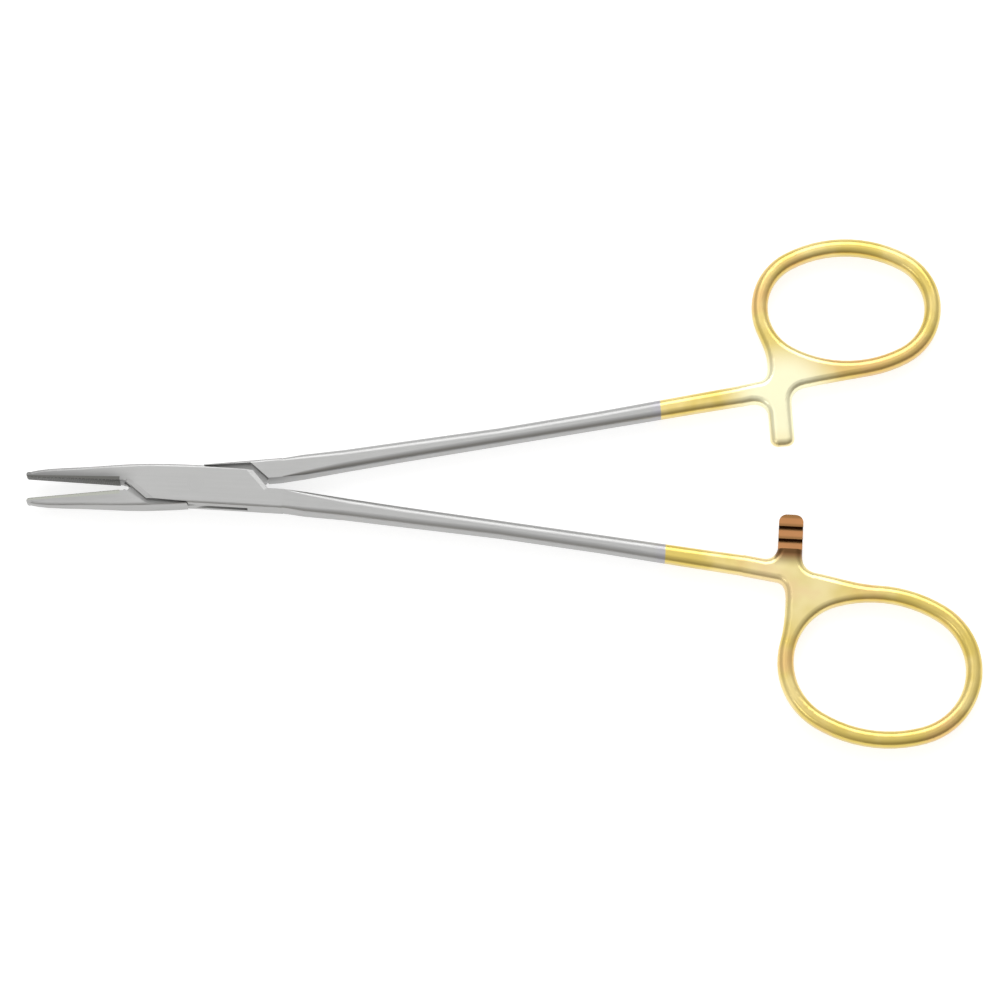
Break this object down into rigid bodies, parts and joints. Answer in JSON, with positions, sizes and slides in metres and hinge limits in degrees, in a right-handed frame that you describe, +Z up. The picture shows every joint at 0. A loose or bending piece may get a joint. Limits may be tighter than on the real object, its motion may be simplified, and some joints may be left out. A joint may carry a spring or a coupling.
{
  "type": "surgical needle holder",
  "caption": "Box-lock needle holder with short hard-metal jaws, slim tapering shanks, ratchet arms and gold-plated finger rings.",
  "frame": {"origin": "on the axis of the pivot pin, in the underside of the box", "axes": "+X from the pin towards the finger rings, +Y towards the tongue half's ring, +Z up along the pin"},
  "size_m": [0.1526, 0.0831, 0.005],
  "materials": {
    "steel": "satin stainless steel, gold plating on the finger rings",
    "hard_metal": "finely serrated grey hard metal"
  },
  "bodies": {
    "box_side": {"box_half": "steel", "pivot_pin": "steel", "box_jaw_insert": "hard_metal"},
    "tongue_side": {"tongue_half": "steel", "tongue_jaw_insert": "hard_metal"}
  },
  "joints": [
    {"name": "box_lock_pin", "type": "hinge", "parent": "box_side", "child": "tongue_side", "pos_m": [0, 0, 0.0025], "axis": [0, 0, 1], "range_deg": [-7.2, 42.5]}
  ]
}
